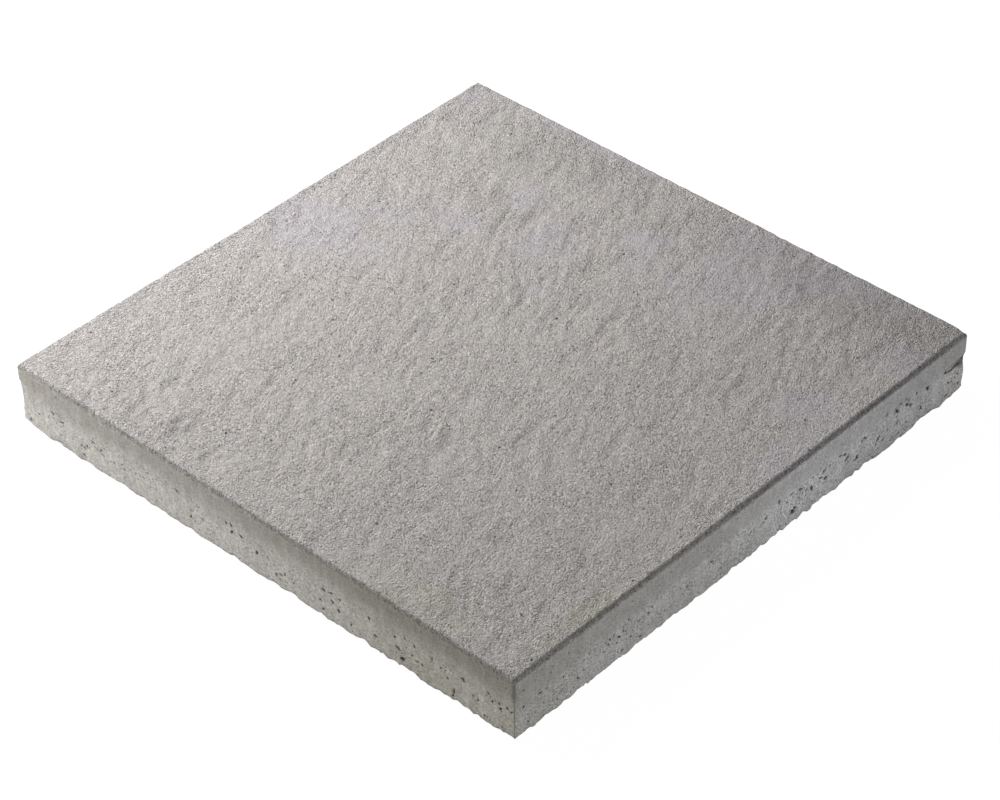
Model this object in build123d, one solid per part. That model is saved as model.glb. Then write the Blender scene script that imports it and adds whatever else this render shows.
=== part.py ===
from build123d import *
import os
from math import ceil, exp, pi, sin

# Concrete paving slab, cast and pressed in one piece, lying with its wearing face up.
# Millimetres. The origin is the centre of the underside, X and Y run along the sides, Z is up.

# overall size
slab_length = 450.0  # along X
slab_width = 450.0  # along Y
slab_thickness = 52.0  # down to the lowest parts of the torn edge

# bevel pressed round the wearing face
arris_run = 1.7  # in plan
arris_drop = 3.2  # in height

# the fine facing mix stands a little proud of the coarse backing mix below it
facing_shallow = 15.5  # least depth of the seam below the wearing face
facing_deep = 19.5  # greatest depth of the seam
facing_pitch = 130.0  # length of one rise and fall of the seam
lip_run = 0.6  # how far the facing stands proud
lip_drop = 4.0  # height in which it steps back to the backing

# torn edge round the underside, where the backing mix was struck off rough
tear_low = 0.9  # height of the edge above the underside, at the bottom of its even waves
tear_high = 2.3  # and at their top
tear_least = 0.25  # least height anywhere
tear_pitch = 17.0  # length of one rise and fall of the edge
undercut_least = 1.0  # least reach of the torn face in under the slab
undercut_most = 4.0  # greatest reach
undercut_pitch = 26.0  # length of one swing in and out

# bottom corners knocked round in handling: height lost at each one
corner_wear = {"front_left": 5.0, "front_right": 2.0, "back_right": 4.5, "back_left": 3.0}
corner_reach = 13.0  # length of side that a worn corner takes
corner_bite = 3.0  # how much further the torn face reaches in at a corner

# nicks and bulges of the torn edge: distance along the side, half length, rise
tear_marks = {
    "front": [(12.0, 5.0, 1.2), (36.0, 4.0, 1.8), (64.0, 5.0, 0.8), (98.0, 4.0, 1.4), (205.0, 4.0, 1.2),
              (243.0, 4.0, 1.8), (257.0, 5.0, 2.2), (322.0, 4.0, 1.5), (365.0, 4.0, 1.4), (384.0, 9.0, -0.9),
              (402.0, 4.0, 1.7)],
    "right": [(41.0, 5.0, -1.2), (61.0, 5.0, 1.6), (88.0, 4.0, 0.9), (119.0, 5.0, -1.2), (181.0, 6.0, -1.4),
              (208.0, 5.0, 1.4), (259.0, 5.0, 1.5), (297.0, 8.0, 0.9), (324.0, 6.0, 1.1), (344.0, 6.0, 1.7),
              (368.0, 8.0, -1.4), (411.0, 9.0, 3.6), (439.0, 8.0, 2.8)],
    "back": [(30.0, 5.0, 1.2), (88.0, 9.0, 1.7), (140.0, 14.0, 1.2), (205.0, 5.0, 1.5), (230.0, 6.0, -1.2),
             (300.0, 10.0, -1.0), (352.0, 5.0, 1.6), (395.0, 6.0, 1.3)],
    "left": [(22.0, 5.0, 1.3), (64.0, 12.0, 1.4), (128.0, 5.0, 1.4), (190.0, 7.0, 1.8), (222.0, 5.0, -1.2),
             (260.0, 12.0, -1.2), (310.0, 5.0, 1.5), (350.0, 7.0, 1.4), (402.0, 5.0, 1.3)],
}

# where each corner lies, as the signs of X and Y, and the two corners that each side joins
corners = {"front_left": (-1, -1), "front_right": (1, -1), "back_right": (1, 1), "back_left": (-1, 1)}
sides = {
    "front": ("front_left", "front_right"),
    "right": ("front_right", "back_right"),
    "back": ("back_right", "back_left"),
    "left": ("back_left", "front_left"),
}

# shares and relative lengths of the sines that make an uneven line
wave_parts = ((0.45, 1.0), (0.30, 0.53), (0.25, 2.3))
points_per_pitch = 6
wave_shift = 1.9  # phase from one side's waves to the next side's, so that no two look alike
undercut_shift = 1.0  # phase of the undercut against the edge's own waves


def uneven(along, pitch, low, high, start):
    """A height that wanders between low and high as it goes along a side."""
    swing = sum(share * sin(2 * pi * along / (pitch * stretch) + start / stretch)
                for share, stretch in wave_parts)
    return low + (high - low) * (1 + swing) / 2


def blend_to_corner(value, corner_value, distance):
    """value, led smoothly to corner_value over the worn length of a corner."""
    share = min(1.0, distance / corner_reach)
    smooth = share * share * (3 - 2 * share)
    return corner_value + (value - corner_value) * smooth


def side_length(side):
    return slab_length if side in ("front", "back") else slab_width


def wave_start(side):
    return wave_shift * (1 + list(sides).index(side))


def corner_point(corner, inset, height):
    x_sign, y_sign = corners[corner]
    return Vector(x_sign * (slab_length / 2 - inset), y_sign * (slab_width / 2 - inset), height)


def inward(side):
    """Unit vector from a side towards the middle of the slab."""
    return {"front": Vector(0, 1, 0), "right": Vector(-1, 0, 0),
            "back": Vector(0, -1, 0), "left": Vector(1, 0, 0)}[side]


def seam_height(side, along):
    """Height of the facing's lower edge, the same at every corner."""
    deepest = slab_thickness - facing_deep
    shallowest = slab_thickness - facing_shallow
    wandering = uneven(along, facing_pitch, deepest, shallowest, wave_start(side))
    nearest = min(along, side_length(side) - along)
    return blend_to_corner(wandering, (deepest + shallowest) / 2, nearest)


def tear_height(side, along):
    """Height of the torn edge above the underside."""
    height = uneven(along, tear_pitch, tear_low, tear_high, wave_start(side))
    for place, half_length, rise in tear_marks[side]:
        height += rise * exp(-(((along - place) / half_length) ** 2))
    first, last = sides[side]
    height = blend_to_corner(max(height, tear_least), corner_wear[first], along)
    return blend_to_corner(height, corner_wear[last], side_length(side) - along)


def undercut(side, along):
    """Reach of the torn face in from the backing, longest at the corners."""
    reach = uneven(along, undercut_pitch, undercut_least, undercut_most, wave_start(side) + undercut_shift)
    nearest = min(along, side_length(side) - along)
    return blend_to_corner(reach, undercut_most + corner_bite, nearest)


def straight_edge(side, inset, height):
    first, last = sides[side]
    return Edge.make_line(corner_point(first, inset, height), corner_point(last, inset, height))


def uneven_edge(side, pitch, height_at, inset, extra_inset_at=None):
    """Spline along a side between its mitred corners, at a height and inset that vary."""
    first, last = sides[side]
    length = side_length(side)
    end_inset = inset + (extra_inset_at(side, 0) if extra_inset_at else 0)
    start = corner_point(first, end_inset, 0)
    run = corner_point(last, end_inset, 0) - start
    steps = ceil(length / pitch * points_per_pitch)
    points = []
    for step in range(steps + 1):
        along = length * step / steps
        point = start + run * (step / steps) + Vector(0, 0, height_at(side, along))
        if extra_inset_at:
            point += inward(side) * (inset + extra_inset_at(side, along) - end_inset)
        points.append(point)
    return Edge.make_spline(points)


def band(upper, lower):
    """Planar face between two edges that lie in one upright plane."""
    return Face(Wire([
        upper,
        Edge.make_line(upper @ 1, lower @ 1),
        lower,
        Edge.make_line(lower @ 0, upper @ 0),
    ]))


def underside_height(side, along):
    return 0.0


def lip_height(side, along):
    return seam_height(side, along) - lip_drop


def side_edges(side):
    """The edges that run along one side, from the wearing face down to the underside."""
    return {
        "face": straight_edge(side, arris_run, slab_thickness),
        "arris": straight_edge(side, 0, slab_thickness - arris_drop),
        "seam": uneven_edge(side, facing_pitch, seam_height, 0),
        "lip": uneven_edge(side, facing_pitch, lip_height, lip_run),
        "tear": uneven_edge(side, tear_pitch, tear_height, lip_run),
        "underside": uneven_edge(side, tear_pitch, underside_height, lip_run, undercut),
    }


def side_faces(edges):
    """Arris, facing, lip, backing and torn face of one side."""
    return [
        band(edges["face"], edges["arris"]),
        band(edges["arris"], edges["seam"]),
        Face.make_surface_from_curves(edges["seam"], edges["lip"]),
        band(edges["lip"], edges["tear"]),
        Face.make_surface_from_curves(edges["tear"], edges["underside"]),
    ]


def paving_slab():
    edges = {side: side_edges(side) for side in sides}
    faces = [
        Face(Wire([edges[side]["face"] for side in sides])),
        Face(Wire([edges[side]["underside"] for side in sides])),
    ]
    for side in sides:
        faces += side_faces(edges[side])
    return Solid(Shell(faces))


os.makedirs("parts", exist_ok=True)
slab = paving_slab()
export_step(slab, "parts/paving_slab.step")
print("paving_slab", "valid" if slab.is_valid else "not valid", round(slab.volume / 1000), "cm3")
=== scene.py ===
import math
import random

import bmesh
import bpy
from mathutils import Euler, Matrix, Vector, noise
from mathutils.kdtree import KDTree


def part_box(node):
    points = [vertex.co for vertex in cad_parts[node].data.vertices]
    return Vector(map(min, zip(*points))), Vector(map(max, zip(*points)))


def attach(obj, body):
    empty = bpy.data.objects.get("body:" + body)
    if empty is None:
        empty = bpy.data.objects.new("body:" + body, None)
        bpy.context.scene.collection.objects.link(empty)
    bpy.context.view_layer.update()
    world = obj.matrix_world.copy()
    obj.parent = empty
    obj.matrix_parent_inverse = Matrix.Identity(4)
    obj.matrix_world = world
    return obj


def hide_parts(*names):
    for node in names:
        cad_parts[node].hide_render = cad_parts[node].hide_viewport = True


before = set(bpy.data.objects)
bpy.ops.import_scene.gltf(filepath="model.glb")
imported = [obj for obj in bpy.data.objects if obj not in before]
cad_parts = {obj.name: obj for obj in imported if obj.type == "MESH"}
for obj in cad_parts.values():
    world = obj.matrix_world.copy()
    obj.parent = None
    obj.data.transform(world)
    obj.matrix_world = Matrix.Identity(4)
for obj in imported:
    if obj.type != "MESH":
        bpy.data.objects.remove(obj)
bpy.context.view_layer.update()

# One concrete paving slab, lying face up on a white floor. Everything is in metres.
mm = 0.001
tiny = 1e-7
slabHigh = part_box("paving_slab")[1]
halfSide = slabHigh.x  # the slab is square, with its middle on the Z axis
topHeight = slabHigh.z


slab = {
    "columns": 222,  # faces along each side
    "underColumns": 60,  # and across the middle of the underside
    "crowding": 0.75,  # closer columns at the corners
    "crowdReach": 4 * mm,
    "arrisRun": 1.7 * mm,  # pressed bevel round the wearing face, in plan
    "arrisDrop": 3.2 * mm,  # and in height
    "arrisBend": 0.4,  # its middle row, as a share of it
    "seamDepth": 17.5 * mm,  # mean depth of the facing mix
    "seamSwing": 2.0 * mm,
    "seamPitch": 130 * mm,
    "lipRun": 0.6 * mm,  # the backing stands back this far
    "lipDrop": 4.0 * mm,
    "tearLow": 0.9 * mm,  # torn edge above the underside
    "tearHigh": 2.3 * mm,
    "tearLeast": 0.25 * mm,
    "tearPitch": 17 * mm,
    "tearBend": 0.4,  # the torn face's middle row, as a share of it
    "undercut": 2.5 * mm,  # mean reach of the torn face in under the slab
    "undercutSwing": 1.5 * mm,
    "undercutPitch": 26 * mm,
    "undercutShift": 1,  # phase against the torn edge's waves
    "underRow": 3 * mm,  # on to the next row under the slab
    "underRim": 18 * mm,  # inset of the last row
    "underMiddle": 26 * mm,  # inset of the grid that closes the underside
    "waveShift": 1.9,  # phase from side to side
    "waveParts": ((0.45, 1.0), (0.30, 0.53), (0.25, 2.3)),  # share and length of each sine in a wave
    "cornerReach": 13 * mm,  # length of side that a worn corner takes
    "cornerBite": 3 * mm,  # further reach of the torn face there
    "cornerWear": {"frontLeft": 5 * mm, "frontRight": 2 * mm, "backRight": 4.5 * mm, "backLeft": 3 * mm},
    "cornerRound": {"frontLeft": mm, "frontRight": 0.6 * mm, "backRight": 0.8 * mm, "backLeft": 1.5 * mm},
}
crumbs = {
    "strength": {"front": 1.1, "right": 1.9, "back": 1.2, "left": 1.2},  # mm for each unit below
    "sizes": ((8 * mm, 2.2, 0.65, 0), (4.2 * mm, 1.3, 0.3, 4)),  # length, height, part taken off, seed
    "stepLength": 15 * mm,
    "stepHeight": 3.0,
    "stepWander": 0.6,  # unevenness, as a share of a step
    "stepWanderSize": 21 * mm,
}
sideCorners = {
    "front": ("frontLeft", "frontRight"),
    "right": ("frontRight", "backRight"),
    "back": ("backRight", "backLeft"),
    "left": ("backLeft", "frontLeft"),
}
sideNames = list(sideCorners)
sideOut = {"front": (0, -1), "right": (1, 0), "back": (0, 1), "left": (-1, 0)}
cornerSigns = {"frontLeft": (-1, -1), "frontRight": (1, -1), "backRight": (1, 1), "backLeft": (-1, 1)}
# nicks and bulges of the torn edge: distance along the side, half length and rise in mm
tearMarks = {
    "front": [
        (12, 5, 1.2), (36, 4, 1.8), (64, 5, 0.8), (98, 4, 1.4), (205, 4, 1.2), (243, 4, 1.8),
        (257, 5, 2.2), (322, 4, 1.5), (365, 4, 1.4), (384, 9, -0.9), (402, 4, 1.7),
    ],
    "right": [
        (41, 5, -1.2), (61, 5, 1.6), (88, 4, 0.9), (119, 5, -1.2), (181, 6, -1.4), (208, 5, 1.4),
        (259, 5, 1.5), (297, 8, 0.9), (324, 6, 1.1), (344, 6, 1.7), (368, 8, -1.4), (411, 9, 3.6),
        (439, 8, 2.8),
    ],
    "back": [
        (30, 5, 1.2), (88, 9, 1.7), (140, 14, 1.2), (205, 5, 1.5), (230, 6, -1.2), (300, 10, -1),
        (352, 5, 1.6), (395, 6, 1.3),
    ],
    "left": [
        (22, 5, 1.3), (64, 12, 1.4), (128, 5, 1.4), (190, 7, 1.8), (222, 5, -1.2), (260, 12, -1.2),
        (310, 5, 1.5), (350, 7, 1.4), (402, 5, 1.3),
    ],
}


def shareBetween(value, low, high):
    # smooth rise from 0 at low to 1 at high
    share = max(0.0, min(1.0, (value - low) / (high - low)))
    return share * share * (3 - 2 * share)


def hump(distance, halfLength):
    return math.exp(-((distance / halfLength) ** 2))


def sideAlong(x, y):
    # which side a point of the square outline is on, and how far along it, going round anticlockwise
    if abs(y + halfSide) < tiny:
        return "front", x + halfSide
    if abs(x - halfSide) < tiny:
        return "right", y + halfSide
    if abs(y - halfSide) < tiny:
        return "back", halfSide - x
    return "left", halfSide - y


def sideStart(side):
    return slab["waveShift"] * (1 + sideNames.index(side))


def wander(along, pitch, start):
    swing = 0
    for share, stretch in slab["waveParts"]:
        swing += share * math.sin(2 * math.pi * along / (pitch * stretch) + start / stretch)
    return swing


def leadTo(value, cornerValue, distance):
    # value, led smoothly to cornerValue over the worn length of a corner
    return cornerValue + (value - cornerValue) * shareBetween(distance, 0, slab["cornerReach"])


def seamHeight(side, along):
    ends = min(along, 2 * halfSide - along)
    swing = slab["seamSwing"] * wander(along, slab["seamPitch"], sideStart(side))
    return topHeight - slab["seamDepth"] + leadTo(swing, 0, ends)


def crumbHeight(side, along):
    # crumbs hang down sharply between rounder hollows
    start = sideStart(side)
    height = 0
    for size, rise, off, seed in crumbs["sizes"]:
        height += rise * abs(noise.noise(Vector((along / size, start, seed)))) - off
    # and the edge broke off in short slanting steps
    uneven = noise.noise(Vector((along / crumbs["stepWanderSize"], start, 8)))
    place = along / crumbs["stepLength"] + crumbs["stepWander"] * uneven
    step = math.floor(place)
    slant = noise.noise(Vector((step * 1.7 + 0.3, start, 2)))
    height += crumbs["stepHeight"] * slant * (place - step - 0.5)
    return crumbs["strength"][side] * height * mm


def tearHeight(side, along):
    middle = (slab["tearLow"] + slab["tearHigh"]) / 2
    height = middle + (slab["tearHigh"] - middle) * wander(along, slab["tearPitch"], sideStart(side))
    for place, halfLength, rise in tearMarks[side]:
        height += rise * mm * hump(along / mm - place, halfLength)
    height = max(height + crumbHeight(side, along), slab["tearLeast"])
    first, last = sideCorners[side]
    height = leadTo(height, slab["cornerWear"][first], along)
    return leadTo(height, slab["cornerWear"][last], 2 * halfSide - along)


def undercutReach(side, along):
    ends = min(along, 2 * halfSide - along)
    start = sideStart(side) + slab["undercutShift"]
    reach = slab["undercut"] + slab["undercutSwing"] * wander(along, slab["undercutPitch"], start)
    return leadTo(reach, slab["undercut"] + slab["undercutSwing"] + slab["cornerBite"], ends)


# rows from the wearing face's rim down to the underside
rows = {
    "rim": 0, "arrisMiddle": 1, "arris": 2, "seam": 9, "lip": 10,
    "tear": 24, "tearMiddle": 25, "underside": 26, "inner": 27, "innermost": 28,
}


def rowPlace(row, side, along):
    # inset from the outline, inset at the corners, and height of a row
    seam = seamHeight(side, along)
    tear = tearHeight(side, along)
    reach = undercutReach(side, along)
    cornerReach = undercutReach(side, 0)
    lip = slab["lipRun"]
    if row == rows["rim"]:
        return slab["arrisRun"], slab["arrisRun"], topHeight
    if row == rows["arrisMiddle"]:
        inset = slab["arrisBend"] * slab["arrisRun"]
        return inset, inset, topHeight - slab["arrisBend"] * slab["arrisDrop"]
    if row <= rows["seam"]:
        share = (row - rows["arris"]) / (rows["seam"] - rows["arris"])
        top = topHeight - slab["arrisDrop"]
        return 0, 0, top + (seam - top) * share
    if row <= rows["tear"]:
        share = (row - rows["lip"]) / (rows["tear"] - rows["lip"])
        top = seam - slab["lipDrop"]
        return lip, lip, top + (tear - top) * share
    if row == rows["tearMiddle"]:
        bend = slab["tearBend"]
        return lip + bend * reach, lip + bend * cornerReach, bend * tear
    if row == rows["innermost"]:
        return slab["underRim"], slab["underRim"], 0
    inward = slab["underRow"] if row == rows["inner"] else 0
    return lip + reach + inward, lip + cornerReach + inward, 0


def crowd(value):
    # closer columns near the corners, where the slab's upright edges are rounded
    gap = halfSide - abs(value)
    gap *= 1 - slab["crowding"] * math.exp(-gap / slab["crowdReach"])
    return math.copysign(halfSide - gap, value)


def roundCorner(co):
    for corner, (signX, signY) in cornerSigns.items():
        radius = slab["cornerRound"][corner]
        a = (co.x * signX - (halfSide - radius)) / radius
        b = (co.y * signY - (halfSide - radius)) / radius
        if a > 0 and b > 0:
            co.x = signX * (halfSide - radius + radius * a * math.sqrt(max(0, 1 - b * b / 2)))
            co.y = signY * (halfSide - radius + radius * b * math.sqrt(max(0, 1 - a * a / 2)))


def makeShell():
    # wearing face as a grid, its rim extruded row by row down the sides and in under the slab
    bm = bmesh.new()
    home = bm.verts.layers.float_vector.new("home")  # where each point's column starts, and its row
    bmesh.ops.create_grid(bm, x_segments=slab["columns"], y_segments=slab["columns"], size=halfSide)
    shrink = (halfSide - slab["arrisRun"]) / halfSide
    for vert in bm.verts:
        vert.co.x = crowd(vert.co.x)
        vert.co.y = crowd(vert.co.y)
        vert[home] = (vert.co.x, vert.co.y, rows["rim"])
        vert.co.x *= shrink
        vert.co.y *= shrink
        vert.co.z = topHeight
    rim = [edge for edge in bm.edges if edge.is_boundary]
    for row in range(1, rows["innermost"] + 1):
        made = bmesh.ops.extrude_edge_only(bm, edges=rim)["geom"]
        for vert in [item for item in made if isinstance(item, bmesh.types.BMVert)]:
            x, y = vert[home].x, vert[home].y
            side, along = sideAlong(x, y)
            inset, cornerInset, height = rowPlace(row, side, along)
            shrink = (halfSide - cornerInset) / halfSide
            px, py = x * shrink, y * shrink
            atCorner = abs(abs(x) - abs(y)) < tiny
            if side in ("front", "back") and not atCorner:
                py = math.copysign(halfSide - inset, y)
            elif not atCorner:
                px = math.copysign(halfSide - inset, x)
            vert.co = (px, py, height)
            vert[home] = (x, y, row)
        rim = [item for item in made if isinstance(item, bmesh.types.BMEdge) and item.is_boundary]
    return bm, home


def closeUnderside(bm, home):
    # a coarser grid under the middle, bridged to the last row
    count = slab["underColumns"]
    size = halfSide - slab["underMiddle"]
    made = bmesh.ops.create_grid(bm, x_segments=count, y_segments=count, size=size)["verts"]
    for vert in made:
        vert[home] = (vert.co.x, vert.co.y, rows["innermost"] + 1)
    faces = [face for face in bm.faces if face.verts[0][home].z > rows["innermost"]]
    bmesh.ops.reverse_faces(bm, faces=faces)
    bmesh.ops.bridge_loops(bm, edges=[edge for edge in bm.edges if edge.is_boundary])


def fractal(co, size, octaves=3, roughness=0.5, seed=0):
    # Perlin noise between about -1 and 1, its first octave size metres long
    total, share, scale = 0, 1, 1 / size
    for octave in range(octaves):
        place = (co[0] * scale + seed * 7.31, co[1] * scale - seed * 3.17, co[2] * scale + octave * 5.3)
        total += share * noise.noise(Vector(place))
        share *= roughness
        scale *= 2
    return total


relief = {
    "direction": 112,  # degrees, along which the relief is drawn out
    "stretch": 2.8,
    "lean": 0.6,  # how far its rises lean over to one side
    "warp": 7 * mm,  # how far it is bent about
    "warpSize": 40 * mm,
    "swell": 0.6 * mm,
    "swellSize": 70 * mm,
    "riven": 1.26 * mm,
    "rivenSize": 18 * mm,
    "ripple": 1.1 * mm,
    "rippleSize": 9.5 * mm,
    "chop": 0.58 * mm,
    "chopSize": 5.2 * mm,
    "flakes": 0.6,  # share of leaning flakes in it
    "below": 0.7 * mm,  # depth of its middle under the rim's height
    "press": 0.35 * mm,  # the highest parts are pressed flat over this height
    "strength": 0.9,
    "patches": 0.45,  # how much it differs from place to place
    "patchSize": 90 * mm,
    "fadeRight": 0.08,  # what it loses towards the right
    "farMiddle": 0.4,  # what it gains in the middle of the far half
    "farRight": 0.3,  # and near the far right corner
    "worn": 0.25,  # what it loses where the face is rubbed
    "rim": 0.5,  # strength left at the rim
    "rimFade": (1 * mm, 10 * mm),
    "cornerFall": 1.5 * mm,  # the far right corner is knocked down
    "cornerFallReach": (1 * mm, 8 * mm),
}
# folds that stand out in the wearing face: place, direction, half length and half width in mm, height
folds = [
    (-38, 137, 100, 16, 2.2, 0.55),
    (35, 122, 88, 22, 2.4, -0.6),
    (8, 137, 95, 14, 2.2, 0.5),
    (122, 138, 118, 9, 3.0, -0.8),
    (-146, 92, 100, 22, 2.6, -0.6),
    (-142, 60, 85, 14, 2.4, 0.4),
    (-118, 128, 120, 14, 2.4, -0.55),
    (-144, 180, 140, 18, 2.3, -0.45),
    (42, -94, 112, 12, 2.6, -0.7),
    (-30, -98, 135, 14, 2.4, 0.45),
    (-202, 15, 115, 10, 2.6, -0.6),
    (-95, -20, 125, 16, 2.4, -0.45),
    (-25, -190, 130, 18, 3.0, 0.5),
    (-10, 178, 95, 10, 2.4, 0.35),
    (-60, 40, 130, 20, 2.4, 0.35),
]
fold = {
    "wobble": 1.2,  # how far its line wanders, in mm
    "wobbleSize": 9,
    "gentle": 1.8,  # the gentle flank is this much wider
}


def foldHeight(x, y):
    total = 0
    for placeX, placeY, direction, halfLength, halfWidth, height in folds:
        dx, dy = x / mm - placeX, y / mm - placeY
        if dx * dx + dy * dy > (2.2 * halfLength) ** 2:
            continue  # too far away to matter
        cos, sin = math.cos(math.radians(direction)), math.sin(math.radians(direction))
        along, across = dx * cos + dy * sin, dy * cos - dx * sin
        across += fold["wobble"] * noise.noise(Vector((along / fold["wobbleSize"], height * 10, 0)))
        width = halfWidth if across * height < 0 else fold["gentle"] * halfWidth
        total += height * mm * hump(along, halfLength) * hump(across, width)
    return total


def leaning(drawn, size, seed):
    # noise whose rises are pushed to one side, so that they fall steeply there like the edges of flakes
    height = fractal(drawn, size, 1, 0.5, seed)
    return fractal(Vector((drawn.x, drawn.y + relief["lean"] * size * height, 0)), size, 2, 0.5, seed)


def crested(drawn, size, seeds, octaves, crest, fall):
    # leaning flakes with sharp crests among them
    crests = crest - fall * abs(fractal(drawn, size, octaves, 0.5, seeds[1]))
    return relief["flakes"] * leaning(drawn, size, seeds[0]) + crests


def reliefStrength(x, y):
    strength = relief["strength"] - relief["fadeRight"] * x / halfSide
    strength += relief["patches"] * fractal((x, y, 0), relief["patchSize"], 1, 0.5, 8)
    strength += relief["farMiddle"] * hump(x / mm + 30, 120) * shareBetween(y, -60 * mm, 120 * mm)
    strength += relief["farRight"] * shareBetween(x, 20 * mm, 90 * mm) * shareBetween(y, 100 * mm, 150 * mm)
    return strength * (1 - relief["worn"] * wornShare(x, y))


def topRelief(x, y):
    cos, sin = math.cos(math.radians(relief["direction"])), math.sin(math.radians(relief["direction"]))
    co = Vector((x, y, 0))
    size = relief["warpSize"]
    bent = co + Vector((fractal(co, size, 2, 0.5, 1), fractal(co, size, 2, 0.5, 2), 0)) * relief["warp"]
    drawn = Vector(((bent.x * cos + bent.y * sin) / relief["stretch"], bent.y * cos - bent.x * sin, 0))
    swell = relief["swell"] * fractal(co, relief["swellSize"], 2, 0.5, 3)
    riven = relief["riven"] * crested(drawn, relief["rivenSize"], (4, 14), 2, 0.2, 0.8)
    drawn.x *= 1.12  # the smaller relief is less drawn out
    ripple = relief["ripple"] * crested(drawn, relief["rippleSize"], (5, 6), 1, 0.14, 0.6)
    drawn.x *= 1.2
    chop = relief["chop"] * fractal(drawn, relief["chopSize"], 1, 0.5, 7)
    return swell + (riven + ripple + chop) * reliefStrength(x, y)


def cornerFall(x, y):
    fromCorner = math.hypot(halfSide - x, halfSide - y)
    return relief["cornerFall"] * (1 - shareBetween(fromCorner, *relief["cornerFallReach"]))


def reliefHeight(x, y):
    raised = foldHeight(x, y)
    depth = (relief["below"] - topRelief(x, y) - max(0, raised)) / relief["press"]
    height = min(0, raised) - relief["press"] * math.log(1 + math.exp(min(depth, 40)))
    gap = halfSide - max(abs(x), abs(y))
    kept = relief["rim"] + (1 - relief["rim"]) * shareBetween(gap, *relief["rimFade"])
    return height * kept - cornerFall(x, y)


# places where the wearing face is rubbed smooth: middle and half lengths along X and Y, in mm
wornPatches = [
    (-192, 20, 62, 46), (-158, 72, 18, 16), (-114, 88, 20, 14), (-96, 138, 14, 14), (-53, 112, 24, 32),
    (-24, 68, 16, 12), (-8, 158, 12, 14), (9, 146, 12, 34), (59, 155, 24, 46), (98, 167, 26, 30),
    (62, 208, 34, 14), (138, 206, 46, 16), (208, 170, 22, 26), (196, 92, 24, 24), (214, 42, 14, 32),
    (-207, 207, 12, 12), (-110, 221, 80, 5),
]


def wornShare(x, y):
    share = 0
    for placeX, placeY, spanX, spanY in wornPatches:
        share += hump(x / mm - placeX, spanX) * hump(y / mm - placeY, spanY)
    share *= 1 + fractal((x, y, 0), 24 * mm, 3, 0.6, 9)
    return shareBetween(share, 0.1, 1.05)


# hollows in the backing at two corners, where the facing hangs over it
hollows = [
    {"corner": "backRight", "reach": 22 * mm, "depth": 0.8 * mm, "top": 21 * mm, "tall": 11 * mm},
    {"corner": "frontLeft", "reach": 17 * mm, "depth": 0.9 * mm, "top": 15 * mm, "tall": 34 * mm},
]
hollowEdge = {"wobble": 1.9 * mm, "wobbleSize": 3.5 * mm, "endTall": 0.2, "narrowing": 1.5, "fading": 0.6}


def hollowShare(place, hollow):
    # how far into a hollow a point of the sides is: place holds its outline point and its row
    signX, signY = cornerSigns[hollow["corner"]]
    fromCorner = (halfSide - signX * place.x) + (halfSide - signY * place.y)
    if fromCorner > hollow["reach"]:
        return 0
    near = 1 - shareBetween(fromCorner, 0, hollow["reach"])
    side, along = sideAlong(place.x, place.y)
    wobble = noise.noise(Vector((fromCorner / hollowEdge["wobbleSize"], 3, 0)))
    depth = topHeight - rowPlace(place.z, side, along)[2] + hollowEdge["wobble"] * wobble
    endTall = hollowEdge["endTall"]
    tall = hollow["tall"] * (endTall + (1 - endTall) * near ** hollowEdge["narrowing"])
    above = shareBetween(depth, hollow["top"] - 1 * mm, hollow["top"] + 0.5 * mm)
    below = 1 - shareBetween(depth, hollow["top"] + 0.45 * tall, hollow["top"] + tall)
    return near ** hollowEdge["fading"] * above * below


# roughness of each part: mean depth and swing, then size, octaves, roughness and seed of the noise
roughParts = {
    "facing": (0.1 * mm, 0.16 * mm, 18 * mm, 3, 0.5, 12),
    "backing": (0.05 * mm, 0.1 * mm, 18 * mm, 2, 0.5, 13),
    "lowerBacking": (0.05 * mm, 0.6 * mm, 9 * mm, 3, 0.65, 14),  # added to it below the lip
    "torn": (0.35 * mm, 0.8 * mm, 7 * mm, 3, 0.6, 15),
    "underside": (0.35 * mm, 0.8 * mm, 11 * mm, 3, 0.6, 16),
}
chipped = {
    "size": 6 * mm,
    "mean": 0.25 * mm,
    "swing": 0.5 * mm,
    "deeper": 1.1 * mm,  # added where a chip is
    "chipFrom": 0.35,
    "back": 0.6,  # strength along the back side
    "follow": 0.6,  # how much of the face's relief it follows
}


def roughDepth(part, co):
    mean, swing, size, octaves, roughness, seed = roughParts[part]
    return mean + swing * fractal(co, size, octaves, roughness, seed)


def arrisMove(co, normal, row):
    chips = fractal(co, chipped["size"], 3, 0.7, 11)
    if co.y > halfSide - 2 * mm:
        chips *= chipped["back"]
    inward = chipped["mean"] + chipped["swing"] * chips
    inward += chipped["deeper"] * max(0, chips - chipped["chipFrom"])
    fall = reliefHeight(co.x, co.y) if row == rows["arrisMiddle"] else -cornerFall(co.x, co.y)
    return -normal * max(0, inward) + Vector((0, 0, fall * chipped["follow"]))


def roughMove(co, normal, row):
    # the surface of each part of the casting, always inwards from its true size
    if row <= rows["rim"]:
        return Vector((0, 0, reliefHeight(co.x, co.y)))
    if row <= rows["arris"]:
        return arrisMove(co, normal, row)
    if row > rows["underside"]:
        return Vector((0, 0, max(0, roughDepth("underside", co))))
    if row <= rows["seam"]:
        inward = roughDepth("facing", co)
    elif row <= rows["tear"]:
        low = shareBetween(row, rows["lip"], rows["lip"] + 5)
        inward = roughDepth("backing", co) + low * roughDepth("lowerBacking", co)
    else:
        inward = roughDepth("torn", co)
    return -normal * max(0, inward)


def roughen(bm, home):
    bm.normal_update()
    moves = [roughMove(vert.co, vert.normal, vert[home].z) for vert in bm.verts]
    for vert, move in zip(bm.verts, moves):
        if rows["arris"] < vert[home].z <= rows["underside"]:
            for hollow in hollows:
                move -= vert.normal * hollowShare(vert[home], hollow) * hollow["depth"]
        vert.co += move


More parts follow.
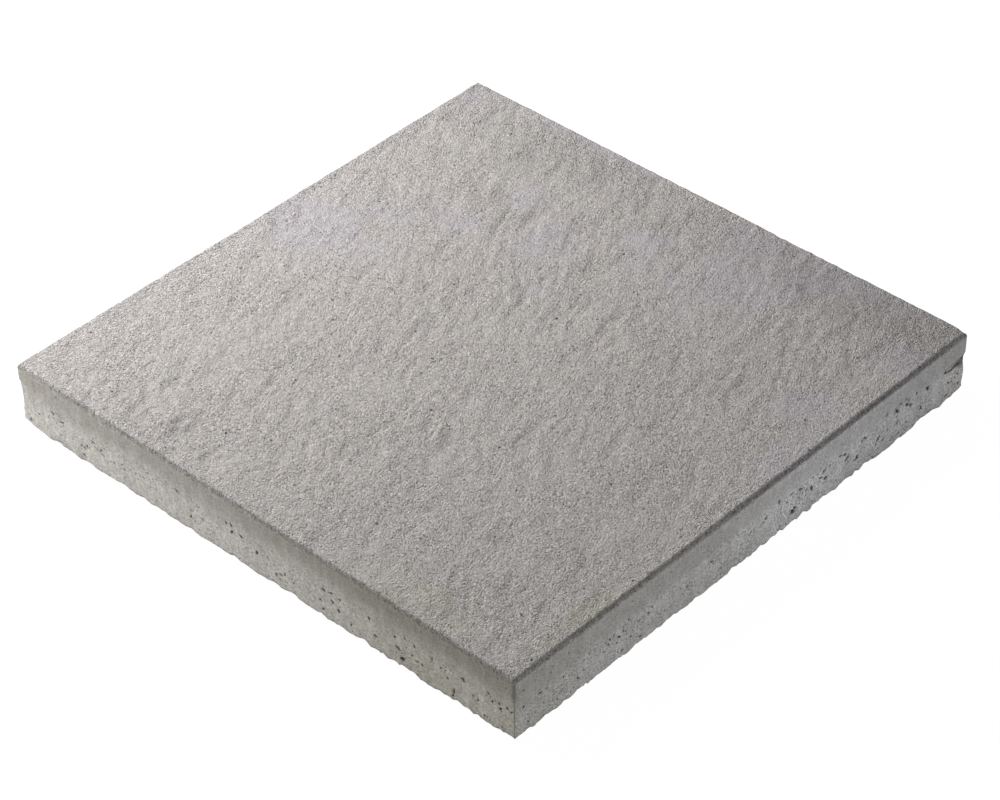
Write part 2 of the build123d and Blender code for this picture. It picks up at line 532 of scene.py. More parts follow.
# larger pores, those of the near sides set one by one: distance along, depth below the face,
# half width and half height in mm
pores = {
    "front": [
        (7, 45, 0.9, 1.1), (17, 35, 0.9, 0.8), (27, 32, 1.2, 0.6), (32, 26, 1.4, 1), (41, 29, 1.4, 0.9),
        (59, 39, 0.9, 1), (62, 39, 1.1, 0.9), (65, 36, 0.7, 1.5), (61, 46, 2, 1), (72, 29, 1.5, 0.8),
        (79, 32, 1, 1), (81, 35, 1.3, 0.6), (82, 29, 0.8, 0.5), (92, 35, 0.7, 1.3), (89, 36, 0.8, 0.6),
        (100, 32, 0.9, 0.6), (153, 24, 1, 1.2), (166, 33, 1.2, 0.8), (165, 39, 0.8, 0.8),
        (176, 35, 0.9, 1), (190, 34, 0.9, 0.6), (199, 24, 0.7, 1.2), (204, 23, 1, 1.7),
        (204, 29, 1.3, 1.1), (213, 28, 1.1, 1), (227, 33, 0.9, 2.2), (244, 41, 1.3, 0.7),
        (248, 39, 1.5, 0.6), (252, 37, 0.9, 0.7), (284, 38, 1.1, 0.7), (287, 28, 1.6, 0.9),
        (293, 27, 1.5, 0.8), (295, 34, 1, 1.2), (286, 45, 0.8, 1.2), (300, 38, 1.1, 1.2),
        (301, 28, 0.9, 0.9), (311, 43, 0.7, 1), (327, 27, 0.9, 1.2), (332, 39, 1.4, 1),
        (349, 29, 1, 0.8), (352, 37, 1.3, 1.1), (355, 44, 2, 1.7), (358, 24, 0.7, 1.2),
        (366, 26, 0.8, 1.7), (368, 38, 1.3, 0.9), (372, 38, 0.7, 0.8), (364, 35, 0.7, 1),
        (381, 27, 0.5, 1.8), (388, 30, 0.7, 1.2), (392, 30, 1, 0.7), (394, 35, 0.8, 1.2),
        (399, 43, 0.8, 2.2), (398, 47, 0.8, 1.2), (415, 36, 0.6, 1), (419, 37, 0.6, 1.8),
        (424, 47, 1.3, 0.8), (428, 25, 1.1, 0.9), (430, 27, 1, 0.7), (431, 30, 0.9, 1.6),
        (437, 28, 1.2, 0.7), (438, 32, 1.1, 1.7), (444, 28, 1.2, 1.1), (447, 29, 1, 1.1),
    ],
    "right": [
        (9, 29, 1.2, 1), (24, 28, 1.6, 0.9), (29, 28, 1.2, 0.8), (13, 44, 0.8, 1.3), (45, 30, 0.7, 1.4),
        (40, 45, 0.7, 1.1), (58, 40, 0.7, 1.4), (82, 35, 1, 0.8), (86, 32, 1, 1.3), (88, 29, 1.2, 1),
        (91, 28, 0.8, 1.4), (94, 36, 1, 0.8), (100, 30, 0.7, 1.6), (107, 40, 1.3, 1),
        (116, 46, 1.2, 0.9), (99, 46, 1.2, 0.8), (124, 32, 0.9, 1.6), (115, 32, 0.8, 0.8),
        (161, 35, 1, 1.1), (185, 30, 1.6, 0.7), (236, 31, 1, 1), (239, 29, 1.2, 0.9),
        (252, 24, 0.8, 1.8), (265, 25, 1.4, 0.8), (274, 27, 1.6, 0.8), (276, 32, 0.8, 1),
        (280, 32, 0.7, 1.3), (286, 34, 1.2, 2.1), (280, 36, 0.9, 0.7), (267, 42, 1.5, 2),
        (269, 40, 1.8, 1), (298, 27, 1.4, 1.1), (295, 31, 1.3, 0.9), (304, 26, 1.6, 0.6),
        (315, 25, 2, 0.6), (320, 27, 1.3, 1), (323, 32, 1.7, 1.6), (331, 39, 1.6, 0.8),
        (334, 38, 1.4, 1.5), (338, 27, 1.3, 0.8), (341, 26, 1, 1.1), (356, 36, 1.5, 1.6),
        (354, 40, 1, 1), (376, 25, 1.6, 1.7), (374, 22, 0.9, 0.9), (379, 20, 1.8, 1),
        (384, 20, 1.5, 0.9), (388, 22, 0.9, 1.4), (387, 26, 1.4, 1.3), (377, 34, 0.8, 1.3),
        (397, 22, 1.3, 0.9), (409, 25, 1.9, 1.2), (403, 38, 1, 1.3), (379, 45, 1.3, 0.8),
        (364, 21, 1.2, 0.7), (428, 23, 1, 1.8), (433, 35, 1, 1), (437, 36, 0.9, 0.7),
        (443, 33, 1.1, 0.8), (445, 42, 1.3, 1.2), (431, 45, 1.2, 0.8), (433, 25, 3, 0.8),
        (438, 25, 3, 0.9), (443, 25, 2.6, 1.1),
    ],
    "back": [],
    "left": [],
}
chancePores = {
    "count": {"front": 5, "right": 10, "back": 58, "left": 46},
    "seed": 21,
    "clusters": 9,  # on each side
    "clustered": 0.6,  # share of the pores that keep to a cluster
    "clusterSpread": 0.03,  # as a share of the side
    "depth": (30, 6),  # mean and spread, in mm
    "least": 0.55,  # half height, in mm
    "growth": 0.9,
}
poreShape = {
    "grow": 1.12,
    "growFront": (0.95, 340 * mm),  # from this far along the front side
    "growRight": (0.9, 200 * mm),  # up to this far along the right side
    "wobble": 0.7,
    "wobbleSize": 1.1 * mm,
    "tilt": 0.7,
    "depth": 1.5,  # as a share of the smaller half length
    "deepest": 1.8 * mm,
    "leftPoreShade": 0.72,  # darkness of the painted shade in those at the left end
    "fineReach": (2.6 * mm, 1.1 * mm),  # the mesh is made finer this far round, twice
}


def growthOf(side, place):
    # they are smaller towards the front right corner
    if side == "right" and place < poreShape["growRight"][1]:
        return poreShape["growRight"][0]
    if side == "front" and place > poreShape["growFront"][1]:
        return poreShape["growFront"][0]
    return poreShape["grow"]


def allPores():
    draw = random.Random(chancePores["seed"])
    found = []
    for side in sideNames:
        places = [(place * mm, depth * mm, wide * mm, high * mm) for place, depth, wide, high in pores[side]]
        clusters = [draw.uniform(0.05, 0.95) for k in range(chancePores["clusters"])]
        for k in range(chancePores["count"][side]):
            if draw.random() < chancePores["clustered"]:
                share = draw.choice(clusters) + draw.gauss(0, chancePores["clusterSpread"])
            else:
                share = draw.uniform(0.02, 0.98)
            depth = min(45, max(19, draw.gauss(*chancePores["depth"])))
            size = chancePores["least"] + chancePores["growth"] * draw.random() ** 2.5
            wide = size * draw.uniform(0.8, 1.4)
            place = min(0.985, max(0.015, share)) * 2 * halfSide
            places.append((place, depth * mm, wide * mm, size * mm))
        for place, depth, wide, high in places:
            grow = growthOf(side, place)
            along = place - halfSide
            outX, outY = sideOut[side]
            x, y = outX * halfSide - outY * along, outY * halfSide + outX * along
            found.append((side, Vector((x, y, topHeight - depth)), grow * wide, grow * high))
    return found


def vertTree(bm):
    bm.verts.index_update()
    tree = KDTree(len(bm.verts))
    for index, vert in enumerate(bm.verts):
        tree.insert(vert.co, index)
    tree.balance()
    bm.verts.ensure_lookup_table()
    return tree


def openPores(bm, poreLayer):
    found = allPores()
    for reach in poreShape["fineReach"]:
        tree = vertTree(bm)
        near = set()
        for side, centre, wide, high in found:
            for co, index, distance in tree.find_range(centre, max(wide, high) + reach):
                near.add(bm.verts[index])
        edges = [edge for edge in bm.edges if edge.verts[0] in near and edge.verts[1] in near]
        bmesh.ops.subdivide_edges(bm, edges=edges, cuts=1, use_grid_fill=True)
    tree = vertTree(bm)
    for number, (side, centre, wide, high) in enumerate(found):
        outX, outY = sideOut[side]
        tilt = poreShape["tilt"] * math.sin(2.4 * number)
        depth = min(poreShape["depth"] * min(wide, high), poreShape["deepest"])
        leftPoreShade = poreShape["leftPoreShade"]
        dark = leftPoreShade + (1 - leftPoreShade) * shareBetween(centre.x, -100 * mm, 50 * mm)
        for co, index, distance in tree.find_range(centre, 1.8 * max(wide, high)):
            vert = bm.verts[index]
            offset = co - centre
            across = offset.y if outX else offset.x
            size = poreShape["wobbleSize"]
            wobble = noise.noise(Vector((across / size, offset.z / size, number * 3.7)))
            reach = math.hypot(across / wide + tilt * offset.z / high, offset.z / high)
            reach /= 1 + poreShape["wobble"] * wobble
            vert.co -= Vector((outX, outY, 0)) * depth * (1 - shareBetween(reach, 0.45, 1.1))
            # painted shade deep in each pore
            vert[poreLayer] = max(vert[poreLayer], dark * (1 - shareBetween(reach, 0.65, 1.1)))


stains = {
    "driftSize": 60 * mm,  # size of the noise that bends their edges
    "frontFrom": (-70 * mm, 225 * mm),  # along X, where the front side gets darker
    "right": 0.4,  # on the right side, at its front end
    "elsewhere": 0.3,
    "mossPlaces": ((150, -212, 60, 22), (217, -150, 10, 40)),  # middle and half lengths in mm
    "sandyRow": 1.1,  # last row of the sandy face on the front and left sides
    "seamFade": (4.5 * mm, 19 * mm),  # start above the seam and length of the change there
    "seamFrom": 3.5 * mm,  # start below it on the other two sides
    "hollowShadow": 0.75,  # darkness of the painted shadow in the hollow at the far right corner
    "edgeShadow": 0.42,  # darkness of the painted shade along the front right upright edge
}
maskNames = ("wearing", "worn", "arris", "backing", "torn", "paintedShade", "stain", "damp", "low", "shade")


def markParts(bm, home, layers):
    # what the material needs to know of each place, row by row
    for vert in bm.verts:
        row = vert[home].z
        sandy = stains["sandyRow"] if min(vert[home].x, vert[home].y) < tiny - halfSide else 0
        values = {
            "wearing": 1 - shareBetween(row, sandy, sandy + 0.7),
            "arris": shareBetween(row, 0, 1.2) * (1 - shareBetween(row, rows["arris"], rows["arris"] + 1.9)),
            "backing": backingShare(vert[home], vert.co) if row > 1 else 0,
            "torn": shareBetween(row, rows["tear"] - 0.8, rows["tear"]),
            "stain": stainShare(vert.co) if row > 1 else mossShare(vert.co),
            "damp": dampShare(vert.co),
            "shade": sideShade(vert.co),
        }
        if sandy:
            values["arris"] *= 0.72 + 0.28 * shareBetween(vert.co.x, -halfSide, -100 * mm)
        if row < 1:
            # painted shade: the arris's dark reaches back into the face along the right and back sides,
            # which face away from the key light
            gap = halfSide - max(vert.co.x, vert.co.y) + 1.2 * mm * noise.noise(vert.co / (5 * mm))
            values["arris"] = 0.3 * (1 - shareBetween(gap, 1.5 * mm, 3.2 * mm))
            values["worn"] = wornShare(vert.co.x, vert.co.y)
            # painted shade in the lowest parts of the relief
            values["low"] = shareBetween(topHeight - vert.co.z, 0.8 * mm, 2.4 * mm)
            values["shade"] = topShade(vert.co)
        if rows["arris"] < row < rows["underside"]:
            hollowShadow = stains["hollowShadow"] * hollowShare(vert[home], hollows[0])
            values["paintedShade"] = max(vert[layers["paintedShade"]], hollowShadow, edgeShadow(vert.co))
        for name, value in values.items():
            vert[layers[name]] = value


def stainShare(co):
    # damp stain that gathers at the front right corner
    drift = noise.noise(co / stains["driftSize"])
    if co.y < 1 * mm - halfSide:
        return shareBetween(co.x + 40 * mm * drift, *stains["frontFrom"])
    if co.x > 0:
        return stains["right"] * (1 - shareBetween(co.y + halfSide + 40 * mm * drift, 0, 60 * mm))
    return stains["elsewhere"] * abs(drift)


def mossShare(co):
    # thin green film on the wearing face, near the same corner
    share = 0
    for placeX, placeY, spanX, spanY in stains["mossPlaces"]:
        share += hump(co.x / mm - placeX, spanX) * hump(co.y / mm - placeY, spanY)
    return shareBetween(share * (1 + 1.2 * fractal(co, 20 * mm, 3, 0.6, 10)), 0.2, 1.1)


def dampShare(co):
    # the facing is darker and warmer on the front and left sides than on the other two
    if co.y < 1.5 * mm - halfSide:
        return 1
    if co.x < 1.5 * mm - halfSide:
        return 0.8
    drift = 50 * mm * noise.noise(co / (70 * mm))
    front = 0.5 * (1 - shareBetween(co.y + drift, -60 * mm, 50 * mm))
    return max(front, 0.4 * shareBetween(co.y, 185 * mm, 222 * mm))


def backingShare(place, co):
    # the facing goes over into the backing slowly on the front and left sides, soon on the other two
    side, along = sideAlong(place.x, place.y)
    below = seamHeight(side, along) - co.z
    if side in ("front", "left"):
        start, width = stains["seamFade"]
        return max(0, min(1, (below + start) / width))
    width = 4 * mm + 9 * mm * (1 - shareBetween(co.y, -halfSide, -80 * mm))
    return max(0, min(1, (below - stains["seamFrom"]) / width))


def topShade(co):
    # the wearing face is darker along the back side, most near its right end
    drift = 25 * mm * noise.noise(co / (50 * mm))
    near = 1 - shareBetween(halfSide - co.y + drift, 28 * mm, 78 * mm)
    return near * (0.05 + 0.12 * shareBetween(co.x, 20 * mm, 130 * mm))


def sideShade(co):
    # darker just under the arris, and uneven along the right side
    depth = topHeight - co.z
    if co.y < 1.5 * mm - halfSide:
        damper = shareBetween(co.x, -halfSide, halfSide)
        return (1 - shareBetween(depth, 2.5 * mm, 13 * mm + 9 * mm * damper)) * (0.03 + 0.19 * damper)
    if co.x < halfSide - 1.5 * mm:
        return 0.10 * (1 - shareBetween(depth, 2.5 * mm, 13 * mm))
    facing = 1 - shareBetween(depth, 19 * mm, 24 * mm)
    pale = hump(co.y / mm - 55, 62)
    end = shareBetween(co.y, 120 * mm, 190 * mm) * shareBetween(depth, 3 * mm, 7 * mm)
    low = shareBetween(depth, 34 * mm, 48 * mm) * shareBetween(co.y, -90 * mm, 60 * mm)
    return facing * (0.02 - 0.12 * pale + 0.11 * end) - 0.20 * (1 - facing) * pale + 0.15 * low


def edgeShadow(co):
    # painted shade along the front right upright edge, which stayed sharp
    reach = max(halfSide - co.x, halfSide + co.y)
    return stains["edgeShadow"] * (1 - shareBetween(reach, 0.7 * mm, 1.7 * mm))


def makeSlab():
    bm, home = makeShell()
    closeUnderside(bm, home)
    for vert in bm.verts:
        if vert[home].z < rows["innermost"]:
            roundCorner(vert.co)
    roughen(bm, home)
    layers = {name: bm.verts.layers.float.new(name) for name in maskNames}
    openPores(bm, layers["paintedShade"])
    markParts(bm, home, layers)
    bm.verts.layers.float_vector.remove(bm.verts.layers.float_vector["home"])
    bmesh.ops.triangulate(bm, faces=bm.faces[:], quad_method="SHORT_EDGE", ngon_method="BEAUTY")
    for face in bm.faces:
        face.smooth = True
    openEdges = len([edge for edge in bm.edges if not edge.is_manifold])
    mesh = bpy.data.meshes.new("pavingSlab")
    bm.to_mesh(mesh)
    bm.free()
    print("slab:", len(mesh.polygons), "triangles, open edges", openEdges)
    return addObject("pavingSlab", mesh)


def addObject(name, data):
    made = bpy.data.objects.new(name, data)
    bpy.context.scene.collection.objects.link(made)
    return made


def emptyTree(block):
    block.use_nodes = True
    block.node_tree.nodes.clear()
    return block.node_tree


def addNode(tree, kind, inputs=None, **settings):
    node = tree.nodes.new(kind)
    for name, value in settings.items():
        setattr(node, name, value)
    for name, value in (inputs or {}).items():
        setInput(tree, node.inputs[name], value)
    return node


def setInput(tree, socket, value):
    if isinstance(value, bpy.types.NodeSocket):
        tree.links.new(value, socket)
    else:
        socket.default_value = value


def maths(tree, operation, first, second=0.0, third=0.0, clamp=False):
    inputs = {0: first, 1: second, 2: third}
    return addNode(tree, "ShaderNodeMath", inputs, operation=operation, use_clamp=clamp).outputs[0]


def times(tree, first, second):
    return maths(tree, "MULTIPLY", first, second)


def remap(tree, value, fromLow, fromHigh, toLow, toHigh, smooth=False):
    inputs = {"Value": value, "From Min": fromLow, "From Max": fromHigh, "To Min": toLow, "To Max": toHigh}
    kind = "SMOOTHSTEP" if smooth else "LINEAR"
    return addNode(tree, "ShaderNodeMapRange", inputs, interpolation_type=kind).outputs["Result"]


def spread(tree, value, low, high):
    # noise mostly lies between 0.3 and 0.7
    return remap(tree, value, 0.3, 0.7, low, high)


def blendColours(tree, share, first, second, mode="MIX"):
    node = addNode(tree, "ShaderNodeMix", data_type="RGBA", blend_type=mode)
    for index, value in ((0, share), (6, first), (7, second)):
        setInput(tree, node.inputs[index], value)
    return node.outputs[2]


def tinted(tree, colour, tint):
    return blendColours(tree, 1.0, colour, tint, "MULTIPLY")


def mixValues(tree, share, first, second):
    return addNode(tree, "ShaderNodeMix", {0: share, 2: first, 3: second}).outputs[0]


def noiseAt(tree, coords, size, detail=2.0, roughness=0.5, stretch=None):
    if stretch:
        coords = addNode(tree, "ShaderNodeMapping", {"Vector": coords, "Scale": stretch}).outputs[0]
    inputs = {"Vector": coords, "Scale": 1 / size, "Detail": detail, "Roughness": roughness}
    return addNode(tree, "ShaderNodeTexNoise", inputs).outputs["Fac"]


def cellsAt(tree, coords, size):
    return addNode(tree, "ShaderNodeTexVoronoi", {"Vector": coords, "Scale": 1 / size}, feature="F1")


def channel(tree, colour, index):
    return addNode(tree, "ShaderNodeSeparateColor", {"Color": colour}).outputs[index]


def shifted(tree, coords, by):
    return addNode(tree, "ShaderNodeMapping", {"Vector": coords, "Location": by}).outputs[0]


def grey(value, warm=0.0):
    return (value * (1 + warm), value, value * (1 - warm), 1)


concrete = {
    "facing": (0.420, 0.398, 0.385, 1),
    "facingPurple": (0.411, 0.387, 0.400, 1),  # where the face is rubbed smooth
    "pressedSide": (0.395, 0.384, 0.384, 1),
    "dampSide": (0.318, 0.303, 0.275, 1),
    "backing": (0.436, 0.428, 0.427, 1),
    "dampBacking": (0.455, 0.436, 0.409, 1),
    "stain": (0.76, 0.76, 0.69, 1),  # tints the sides towards one corner
    "moss": (0.955, 0.965, 0.885, 1),  # tints the wearing face there
    # painted shade: the arris of the right and back sides, which face away from the key light
    "arris": (0.172, 0.160, 0.160, 1),
    "dampArris": (0.302, 0.290, 0.266, 1),
    "tornShade": 0.55,  # painted shade on the torn edge
    "low": 0.16,  # painted shade in the lowest parts of the wearing face
    "grain": 1.15 * mm,
    "grainTone": 0.12,  # how much the grains' tones differ
    "oddGrain": 2.9,  # how much a few of them stand out
    "fineTone": 0.235,  # finer noise on the wearing face
    "sideGrain": 0.2,
    "sideFine": 0.38,  # and on the sides
    "wornGrain": 0.76,  # grain left where the face is rubbed
    "bump": 1.15 * mm,
}
# round spots: size of the pattern's cells, radius as a share of it, share of cells left out,
# shift of the pattern, strength, grey value and warmth
spotKinds = {
    "pit": (5 * mm, 0.16, 0.5, None, 0.7, 0.10, 0.05),
    "smallPore": (2.7 * mm, 0.27, 0.55, (0.13, 0.37, 0.11), 0.9, 0.06, 0.05),
    "edgePit": (4 * mm, 0.24, 0.5, (0.07, 0.29, 0.19), 0.85, 0.05, 0.05),
    "darkDot": (13 * mm, 0.085, 0.4, (0.21, 0.11, 0.33), 0.9, 0.05, 0.05),
    "speck": (11 * mm, 0.06, 0.72, (0.31, 0.17, 0.05), 0.6, 0.72, 0.02),
}


def spots(tree, coords, kind):
    # round spots in some of the cells of a pattern
    size, radius, leftOut, shift = spotKinds[kind][:4]
    cells = cellsAt(tree, shifted(tree, coords, shift) if shift else coords, size)
    picked = maths(tree, "GREATER_THAN", channel(tree, cells.outputs["Color"], 1), leftOut)
    return times(tree, remap(tree, cells.outputs["Distance"], radius, 0.5 * radius, 0, 1, True), picked)


def spotted(tree, colour, share, kind):
    strength, value, warm = spotKinds[kind][4:]
    return blendColours(tree, times(tree, share, strength), colour, grey(value, warm))


def wearingColour(tree, masks):
    # warm grey with faint purplish clouds
    wearing = blendColours(tree, masks["worn"], concrete["facing"], concrete["facingPurple"])
    wearing = blendColours(tree, masks["stain"], wearing, tinted(tree, wearing, concrete["moss"]))
    # painted shade in its lowest parts
    return blendColours(tree, times(tree, masks["low"], concrete["low"]), wearing, grey(0.10, 0.05))


def sideColour(tree, coords, masks, stainShare):
    # darker facing above, paler backing below, both with runs and streaks down them
    mottle = noiseAt(tree, coords, 9 * mm, 3, 0.6)
    streaks = noiseAt(tree, coords, 2.5 * mm, 2, 0.6, (1, 1, 0.15))
    runs = noiseAt(tree, coords, 9 * mm, 2, 0.5, (1, 1, 0.22))
    pressed = blendColours(tree, masks["damp"], concrete["pressedSide"], concrete["dampSide"])
    backing = blendColours(tree, masks["damp"], concrete["backing"], concrete["dampBacking"])
    seamShare = maths(tree, "MULTIPLY_ADD", maths(tree, "SUBTRACT", mottle, 0.5), 0.6, masks["backing"])
    sides = blendColours(tree, remap(tree, seamShare, 0.03, 1.0, 0, 1), pressed, backing)
    tone = maths(tree, "ADD", spread(tree, mottle, 0.94, 1.06), spread(tree, streaks, -0.07, 0.07))
    sides = tinted(tree, sides, maths(tree, "ADD", tone, spread(tree, runs, -0.07, 0.07)))
    sides = blendColours(tree, stainShare, sides, tinted(tree, sides, concrete["stain"]))
    # shadowed crumbs along the torn edge
    torn = times(tree, masks["torn"], masks["torn"])
    return blendColours(tree, torn, sides, tinted(tree, sides, grey(concrete["tornShade"])))


def withArris(tree, coords, masks, stainShare, colour):
    # the arris is darker, with a ragged edge; on the right and back sides that dark is painted shade, as
    # they face away from the key light
    arris = blendColours(tree, masks["damp"], concrete["arris"], concrete["dampArris"])
    arris = tinted(tree, arris, spread(tree, noiseAt(tree, coords, 2.2 * mm, 3, 0.7), 0.72, 1.28))
    ragged = noiseAt(tree, shifted(tree, coords, (0.2, 0.5, 0)), 1.7 * mm, 3, 0.7)
    ragged = times(tree, maths(tree, "SUBTRACT", ragged, 0.5), 2.1)
    share = remap(tree, maths(tree, "ADD", masks["arris"], ragged), 0.3, 0.9, 0, 1)
    share = times(tree, share, remap(tree, masks["arris"], 0, 0.25, 0, 1))
    arris = blendColours(tree, stainShare, arris, tinted(tree, arris, concrete["stain"]))
    return blendColours(tree, share, colour, arris)


def grainOnTop(tree, grainTone, fineNoise):
    # a few grains are much darker or paler than the rest
    swing = maths(tree, "SUBTRACT", grainTone, 0.5)
    size = maths(tree, "POWER", maths(tree, "ABSOLUTE", swing), 3.0)
    oddGrain = times(tree, size, maths(tree, "SIGN", swing))
    tone = maths(tree, "MULTIPLY_ADD", swing, concrete["grainTone"], 1.0)
    tone = maths(tree, "MULTIPLY_ADD", oddGrain, concrete["oddGrain"], tone)
    return maths(tree, "ADD", tone, spread(tree, fineNoise, -concrete["fineTone"], concrete["fineTone"]))


def grainOnSides(tree, coords, masks, grainTone):
    fine = noiseAt(tree, coords, 1.55 * mm, 3, 0.75)
    tone = remap(tree, grainTone, 0, 1, -concrete["sideGrain"], concrete["sideGrain"])
    tone = maths(tree, "ADD", tone, spread(tree, fine, -concrete["sideFine"], concrete["sideFine"]))
    grit = remap(tree, masks["backing"], 0, 1, 0.65, 1.05)
    grit = times(tree, grit, remap(tree, masks["damp"], 0, 1, 1.0, 0.74))
    return maths(tree, "MULTIPLY_ADD", tone, grit, 1.0)


def makeConcrete():
    material = bpy.data.materials.new("pressedConcrete")
    tree = emptyTree(material)
    coords = addNode(tree, "ShaderNodeTexCoord").outputs["Object"]
    masks = {}
    for name in maskNames:
        masks[name] = addNode(tree, "ShaderNodeAttribute", attribute_name=name).outputs["Fac"]
    rough = maths(tree, "MAXIMUM", masks["wearing"], masks["arris"])

    clouds = remap(tree, noiseAt(tree, coords, 60 * mm, 3, 0.55), 0.35, 0.65, 0.75, 1.15)
    stainShare = maths(tree, "MULTIPLY", masks["stain"], clouds, clamp=True)
    colour = sideColour(tree, coords, masks, stainShare)
    colour = blendColours(tree, masks["wearing"], colour, wearingColour(tree, masks))
    colour = withArris(tree, coords, masks, stainShare, colour)
    colour = tinted(tree, colour, maths(tree, "SUBTRACT", 1.0, masks["shade"]))

    # sand grains, each with its own tone, gritty in some places and rubbed smooth in others
    grains = cellsAt(tree, coords, concrete["grain"])
    grainTone = channel(tree, grains.outputs["Color"], 0)
    fineNoise = noiseAt(tree, coords, 0.8 * mm, 2, 0.6)
    sideGrain = grainOnSides(tree, coords, masks, grainTone)
    grainTones = mixValues(tree, rough, sideGrain, grainOnTop(tree, grainTone, fineNoise))
    gritty = noiseAt(tree, shifted(tree, coords, (0.4, 0.1, 0)), 48 * mm, 2, 0.5)
    gritty = remap(tree, gritty, 0.35, 0.65, 0.86, 1.16)
    smooth = times(tree, gritty, remap(tree, masks["worn"], 0, 1, 1.0, concrete["wornGrain"]))
    grainTones = maths(tree, "MULTIPLY_ADD", maths(tree, "SUBTRACT", grainTones, 1.0), smooth, 1.0)
    colour = tinted(tree, colour, grainTones)

    # dark pits, small pores in the backing and pits of the arris, painted shade in holes too small for the
    # mesh; dots and pale specks
    shares = {kind: spots(tree, coords, kind) for kind in spotKinds}
    poreClouds = remap(tree, noiseAt(tree, coords, 22 * mm, 2, 0.5), 0.44, 0.58, 0, 1, True)
    shares["smallPore"] = times(tree, times(tree, shares["smallPore"], poreClouds), masks["backing"])
    shares["edgePit"] = times(tree, shares["edgePit"], masks["arris"])
    shares["darkDot"] = times(tree, shares["darkDot"], masks["wearing"])
    for kind, share in shares.items():
        colour = spotted(tree, colour, share, kind)
    # painted shade in the pores, the hollow at the far right corner and the front right upright edge
    colour = blendColours(tree, times(tree, masks["paintedShade"], 0.97), colour, grey(0.022, 0.08))

    # bump: rounded grains over fine noise
    grainHeight = remap(tree, grains.outputs["Distance"], 0.0, 0.8, 0.65, 0)
    topBump = maths(tree, "ADD", times(tree, noiseAt(tree, coords, 1.3 * mm, 2, 0.6), 0.8), grainHeight)
    topBump = maths(tree, "ADD", times(tree, topBump, smooth), noiseAt(tree, coords, 4.5 * mm, 2, 0.5))
    sideBump = times(tree, noiseAt(tree, coords, 1.5 * mm, 3, 0.65), 1.3)
    holes = maths(tree, "MAXIMUM", shares["pit"], shares["darkDot"])
    holes = maths(tree, "MAXIMUM", holes, shares["smallPore"])
    heights = mixValues(tree, rough, sideBump, topBump)
    heights = maths(tree, "SUBTRACT", heights, times(tree, holes, 0.6))
    bump = addNode(tree, "ShaderNodeBump", {"Height": heights, "Distance": concrete["bump"]})
    shader = addNode(tree, "ShaderNodeBsdfPrincipled", {
        "Base Color": colour,
        "Roughness": spread(tree, fineNoise, 0.82, 0.95),
        "Normal": bump.outputs[0],
        "Specular IOR Level": 0.3,
    })
    addNode(tree, "ShaderNodeOutputMaterial", {"Surface": shader.outputs[0]})
    return material


slabPiece = makeSlab()
slabPiece.data.materials.append(makeConcrete())
print("concrete: made")
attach(slabPiece, "root")
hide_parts("paving_slab")

studio = {
    # place, size, power and colour of each softbox
    "key": ((-0.66, -0.08, 0.70), (0.55, 0.45), 10.5, (1.0, 0.992, 0.984)),
    "side": ((-0.52, -0.52, 0.11), (0.45, 0.14), 0.85, (1.0, 0.985, 0.96)),
    "lampTarget": (0, 0, 0.025),
    "ambient": 0.335,
    "table": 0.69,  # light from the white table itself
    "tableGrey": 0.80,
    "tableColour": (0.976, 0.987, 0.991, 1),
    "tableWhite": 0.92,  # share of plain white that the camera sees in it
    "floorSize": 6,
}
cameraSettings = {
    "lens": 118.61,
    "place": (1.18396, -1.24960, 1.42375),
    "turn": (50.5221, 0.7042, 42.7556),  # degrees
}


def addLamp(name, place, size, power, colour):
    data = bpy.data.lights.new(name, "AREA")
    data.shape = "RECTANGLE"
    data.size, data.size_y = size
    data.energy = power
    data.color = colour
    lamp = addObject(name, data)
    lamp.location = place
    aim = Vector(studio["lampTarget"]) - Vector(place)
    lamp.rotation_euler = aim.to_track_quat("-Z", "Y").to_euler()
    lamp.visible_camera = False


def seenDirectly(tree):
    # what the camera sees, by itself or mirrored
    path = addNode(tree, "ShaderNodeLightPath")
    mirrored = maths(tree, "MAXIMUM", path.outputs["Is Glossy Ray"], path.outputs["Is Transmission Ray"])
    return maths(tree, "MAXIMUM", path.outputs["Is Camera Ray"], mirrored)


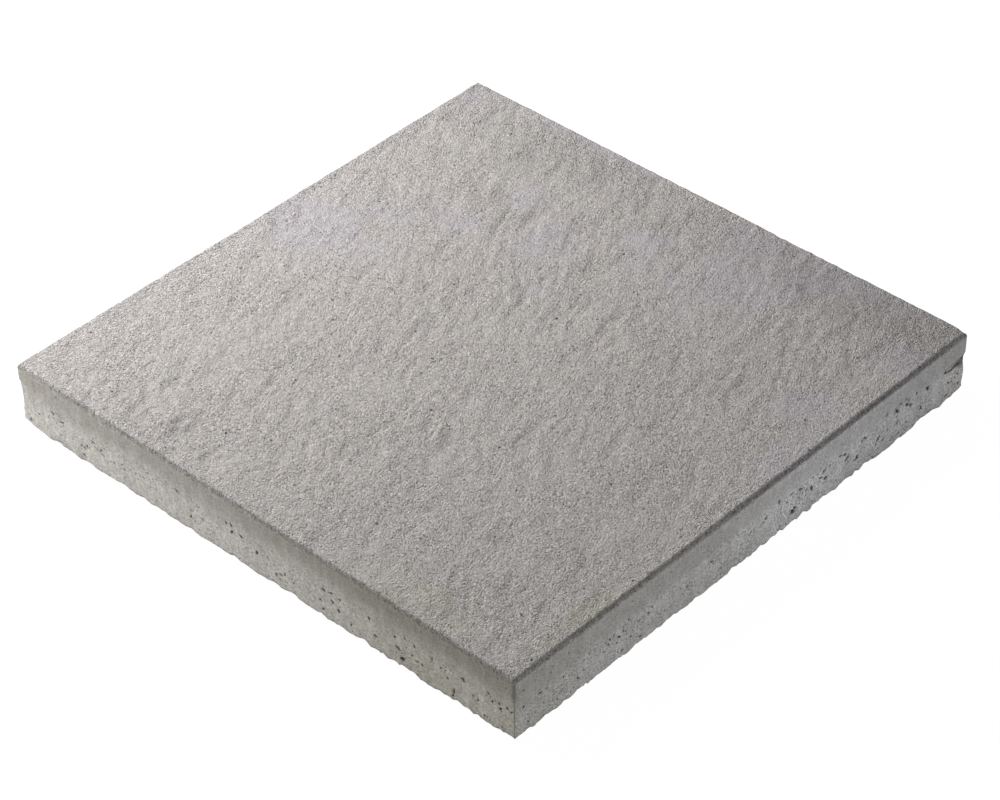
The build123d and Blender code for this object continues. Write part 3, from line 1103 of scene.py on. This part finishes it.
def makeFloor():
    bm = bmesh.new()
    bmesh.ops.create_grid(bm, x_segments=1, y_segments=1, size=studio["floorSize"])
    mesh = bpy.data.meshes.new("studioFloor")
    bm.to_mesh(mesh)
    bm.free()
    floor = addObject("studioFloor", mesh)
    material = bpy.data.materials.new("whiteFloor")
    tree = emptyTree(material)
    matt = addNode(tree, "ShaderNodeBsdfDiffuse", {"Color": grey(studio["tableGrey"])})
    lit = addNode(tree, "ShaderNodeEmission", {"Color": studio["tableColour"], "Strength": studio["table"]})
    matt = addNode(tree, "ShaderNodeAddShader", {0: matt.outputs[0], 1: lit.outputs[0]})
    white = addNode(tree, "ShaderNodeEmission", {"Color": grey(1.0), "Strength": 1.0})
    share = times(tree, seenDirectly(tree), studio["tableWhite"])
    mixed = addNode(tree, "ShaderNodeMixShader", {0: share, 1: matt.outputs[0], 2: white.outputs[0]})
    addNode(tree, "ShaderNodeOutputMaterial", {"Surface": mixed.outputs[0]})
    mesh.materials.append(material)


def makeWorld():
    world = bpy.data.worlds.new("studio")
    bpy.context.scene.world = world
    tree = emptyTree(world)
    ambient = {"Color": studio["tableColour"], "Strength": studio["ambient"]}
    soft = addNode(tree, "ShaderNodeBackground", ambient).outputs[0]
    white = addNode(tree, "ShaderNodeBackground", {"Color": grey(1.0), "Strength": 1.0}).outputs[0]
    mixed = addNode(tree, "ShaderNodeMixShader", {0: seenDirectly(tree), 1: soft, 2: white})
    addNode(tree, "ShaderNodeOutputWorld", {"Surface": mixed.outputs[0]})


def makeCamera():
    data = bpy.data.cameras.new("camera")
    data.sensor_fit = "HORIZONTAL"
    data.sensor_width = 36
    data.lens = cameraSettings["lens"]
    data.clip_start = 0.05
    camera = addObject("camera", data)
    camera.location = cameraSettings["place"]
    camera.rotation_euler = Euler([math.radians(angle) for angle in cameraSettings["turn"]])
    bpy.context.scene.camera = camera


for name in ("key", "side"):
    addLamp(name + "Softbox", *studio[name])
makeFloor()
makeWorld()
makeCamera()
bpy.context.scene.view_settings.view_transform = "Standard"
print("studio: two lamps, floor and camera")
